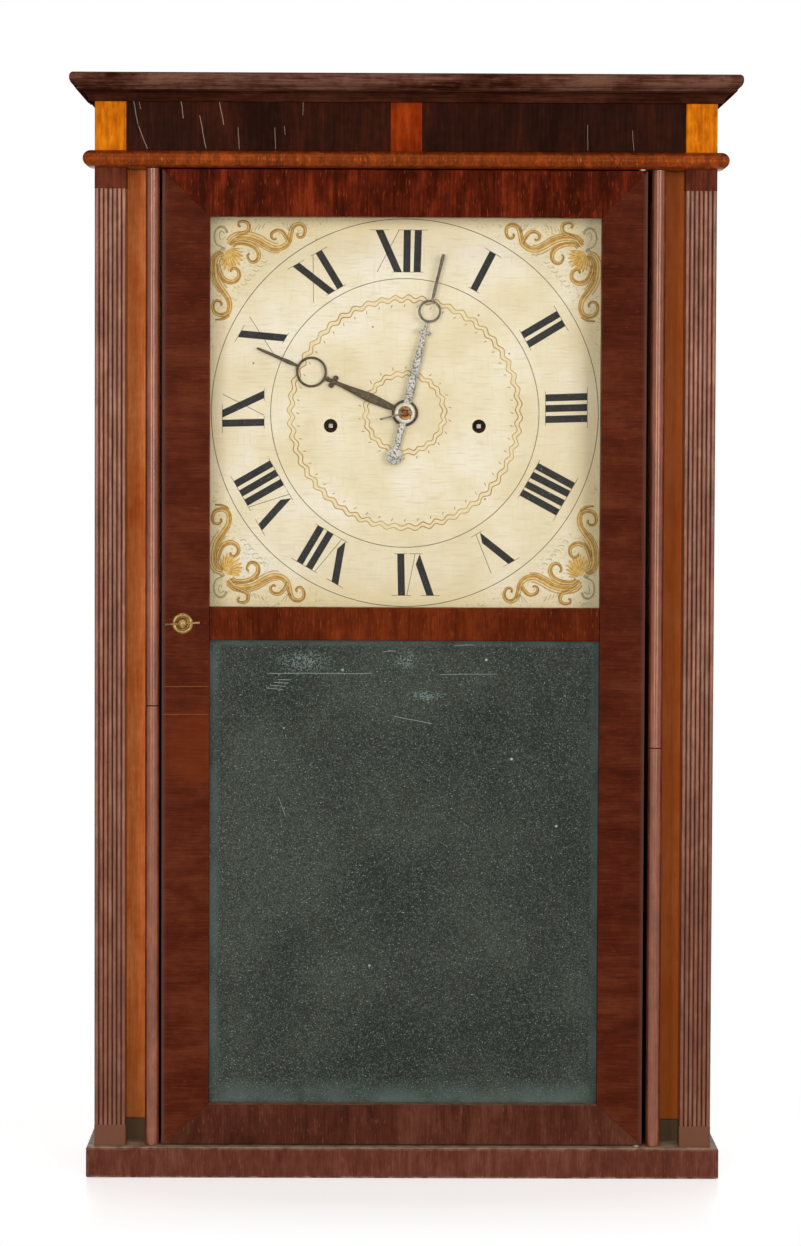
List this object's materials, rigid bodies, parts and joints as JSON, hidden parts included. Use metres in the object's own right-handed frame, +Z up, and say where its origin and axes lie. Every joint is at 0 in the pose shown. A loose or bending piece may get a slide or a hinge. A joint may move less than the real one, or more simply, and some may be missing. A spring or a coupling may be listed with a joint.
{
  "type": "column shelf clock",
  "caption": "Tall wooden shelf clock with a flat cornice, reeded side pilasters, slim round columns, and a hinged door glazed over a painted dial with a mirror below.",
  "frame": {"origin": "on the floor plane, under the centre of the clock's overall width and depth", "axes": "+X to the viewer's right, +Y from the door to the back board, +Z up"},
  "size_m": [0.5222, 0.1466, 0.8634],
  "materials": {
    "cornice_mahogany": "dark varnished mahogany",
    "case_mahogany": "varnished mahogany",
    "moulding_mahogany": "cross-grained mahogany, polished",
    "pilaster_mahogany": "varnished mahogany, reeded",
    "recess_mahogany": "varnished mahogany, orange-brown",
    "door_mahogany": "cross-banded figured mahogany veneer",
    "panel_mahogany": "near-black figured mahogany veneer",
    "maple": "amber varnished maple",
    "pine": "unfinished pine",
    "oak": "oiled oak",
    "cherry": "turned and cut cherry",
    "ivory_paint": "cream painted wooden dial",
    "glass": "clear old window glass",
    "mirror": "old silvered mirror glass",
    "brass": "aged brass",
    "steel": "wrought steel wire and pivots",
    "dark_steel": "blackened steel",
    "pewter": "pitted cast pewter",
    "iron": "cast iron"
  },
  "bodies": {
    "case": {"astragal": "moulding_mahogany", "back_board": "pine", "back_plate": "oak", "bell": "brass", "colonettes": "case_mahogany", "cornice_board": "cornice_mahogany", "cove_moulding": "cornice_mahogany", "dial_board": "ivory_paint", "frieze_board": "case_mahogany", "frieze_centre_block": "case_mahogany", "frieze_end_blocks": "maple", "frieze_panels": "panel_mahogany", "front_plate": "oak", "head_rail": "pine", "hinge_pins": "steel", "jambs": "case_mahogany", "latch_keeper": "brass", "pendulum_cock": "brass", "pilasters": "pilaster_mahogany", "plate_pillars": "cherry", "plinth_board": "case_mahogany", "pulley_brackets": "pine", "recess_panels": "recess_mahogany", "side_boards": "case_mahogany"},
    "door": {"door_bottom_rail": "door_mahogany", "door_middle_rail": "door_mahogany", "door_stile_left": "door_mahogany", "door_stile_right": "door_mahogany", "door_top_rail": "door_mahogany", "dial_glass": "glass", "dial_glazing_strips": "pine", "mirror_glass": "mirror", "mirror_backing": "pine", "latch_rose": "brass"},
    "latch": {"latch_knob": "brass", "latch_catch": "brass"},
    "minute_hand": {"minute_hand": "pewter", "hand_washer": "brass", "hand_pin": "steel", "cannon_pinion": "cherry", "centre_wheel": "cherry"},
    "hour_hand": {"hour_hand": "dark_steel", "hour_wheel": "cherry"},
    "pendulum": {"pendulum_rod": "steel", "pendulum_bob": "brass"},
    "minute_wheel": {"minute_wheel": "cherry"},
    "time_great_wheel": {"time_great_wheel": "cherry"},
    "time_drum": {"time_drum": "cherry"},
    "third_wheel": {"third_wheel": "cherry"},
    "escape_wheel": {"escape_wheel": "brass"},
    "verge": {"verge": "steel"},
    "strike_great_wheel": {"strike_great_wheel": "cherry"},
    "strike_drum": {"strike_drum": "cherry"},
    "pin_wheel": {"pin_wheel": "cherry"},
    "fly": {"fly": "cherry"},
    "hammer": {"hammer": "iron"},
    "time_weight": {"time_weight": "iron"},
    "strike_weight": {"strike_weight": "iron"},
    "time_pulley": {"time_pulley": "cherry"},
    "strike_pulley": {"strike_pulley": "cherry"}
  },
  "joints": [
    {"name": "door_swing", "type": "hinge", "parent": "case", "child": "door", "pos_m": [0.1847, -0.0494, 0.4076], "axis": [0, 0, 1], "range_deg": [0, 110]},
    {"name": "latch_turn", "type": "hinge", "parent": "door", "child": "latch", "pos_m": [-0.1736, -0.043, 0.4356], "axis": [0, -1, 0], "range_deg": [0, 90]},
    {"name": "minute_hand_turn", "type": "hinge", "parent": "case", "child": "minute_hand", "pos_m": [0, 0, 0.6009], "axis": [0, 1, 0], "continuous": true},
    {"name": "hour_hand_turn", "type": "hinge", "parent": "case", "child": "hour_hand", "pos_m": [0, 0, 0.6009], "axis": [0, 1, 0], "continuous": true},
    {"name": "minute_wheel_turn", "type": "hinge", "parent": "case", "child": "minute_wheel", "pos_m": [0.01414, 0, 0.58676], "axis": [0, 1, 0], "continuous": true},
    {"name": "time_great_wheel_turn", "type": "hinge", "parent": "case", "child": "time_great_wheel", "pos_m": [0.0586, 0, 0.5907], "axis": [0, 1, 0], "continuous": true},
    {"name": "third_wheel_turn", "type": "hinge", "parent": "case", "child": "third_wheel", "pos_m": [0.01202, 0, 0.6327], "axis": [0, 1, 0], "continuous": true},
    {"name": "escape_wheel_turn", "type": "hinge", "parent": "case", "child": "escape_wheel", "pos_m": [-0.014, 0, 0.65133], "axis": [0, 1, 0], "continuous": true},
    {"name": "pendulum_swing", "type": "hinge", "parent": "case", "child": "pendulum", "pos_m": [-0.014, 0, 0.68129], "axis": [0, 1, 0], "range_deg": [-3, 3]},
    {"name": "verge_rock", "type": "hinge", "parent": "case", "child": "verge", "pos_m": [-0.014, 0, 0.68129], "axis": [0, 1, 0], "range_deg": [-3, 3]},
    {"name": "time_weight_lift", "type": "slide", "parent": "case", "child": "time_weight", "axis": [0, 0, 1], "range_m": [0, 0.46]},
    {"name": "strike_weight_lift", "type": "slide", "parent": "case", "child": "strike_weight", "axis": [0, 0, 1], "range_m": [0, 0.46]},
    {"name": "time_drum_wind", "type": "hinge", "parent": "time_great_wheel", "child": "time_drum", "pos_m": [0.0586, 0, 0.5907], "axis": [0, 1, 0], "range_deg": [0, 1200]},
    {"name": "strike_drum_wind", "type": "hinge", "parent": "strike_great_wheel", "child": "strike_drum", "pos_m": [-0.0586, 0, 0.5907], "axis": [0, 1, 0], "range_deg": [-1200, 0]},
    {"name": "time_pulley_turn", "type": "hinge", "parent": "case", "child": "time_pulley", "pos_m": [0.20775, 0, 0.8206], "axis": [0, 1, 0], "range_deg": [-2700, 0]},
    {"name": "strike_pulley_turn", "type": "hinge", "parent": "case", "child": "strike_pulley", "pos_m": [-0.20775, 0, 0.8206], "axis": [0, 1, 0], "range_deg": [0, 2700]},
    {"name": "pin_wheel_turn", "type": "hinge", "parent": "case", "child": "pin_wheel", "pos_m": [-0.06772, 0, 0.6424], "axis": [0, 1, 0], "continuous": true},
    {"name": "strike_great_wheel_turn", "type": "hinge", "parent": "case", "child": "strike_great_wheel", "pos_m": [-0.0586, 0, 0.5907], "axis": [0, 1, 0], "continuous": true},
    {"name": "fly_turn", "type": "hinge", "parent": "case", "child": "fly", "pos_m": [-0.05327, 0, 0.66743], "axis": [0, 1, 0], "continuous": true},
    {"name": "hammer_lift", "type": "hinge", "parent": "case", "child": "hammer", "pos_m": [-0.088, 0, 0.6789], "axis": [0, -1, 0], "range_deg": [0, 12]}
  ],
  "couplings": [
    {"joint": "hour_hand_turn", "follows": "minute_hand_turn", "ratio": 0.083333},
    {"joint": "minute_wheel_turn", "follows": "minute_hand_turn", "ratio": -0.33333},
    {"joint": "time_great_wheel_turn", "follows": "minute_hand_turn", "ratio": -0.11111},
    {"joint": "third_wheel_turn", "follows": "minute_hand_turn", "ratio": -9},
    {"joint": "escape_wheel_turn", "follows": "minute_hand_turn", "ratio": 81},
    {"joint": "verge_rock", "follows": "pendulum_swing", "ratio": 1},
    {"joint": "time_drum_wind", "follows": "time_weight_lift", "rad_per_m": 45.455},
    {"joint": "strike_drum_wind", "follows": "strike_weight_lift", "rad_per_m": -45.455},
    {"joint": "time_pulley_turn", "follows": "time_weight_lift", "rad_per_m": -100},
    {"joint": "strike_pulley_turn", "follows": "strike_weight_lift", "rad_per_m": 100},
    {"joint": "strike_great_wheel_turn", "follows": "pin_wheel_turn", "ratio": -0.076923},
    {"joint": "fly_turn", "follows": "pin_wheel_turn", "ratio": -7.5}
  ]
}
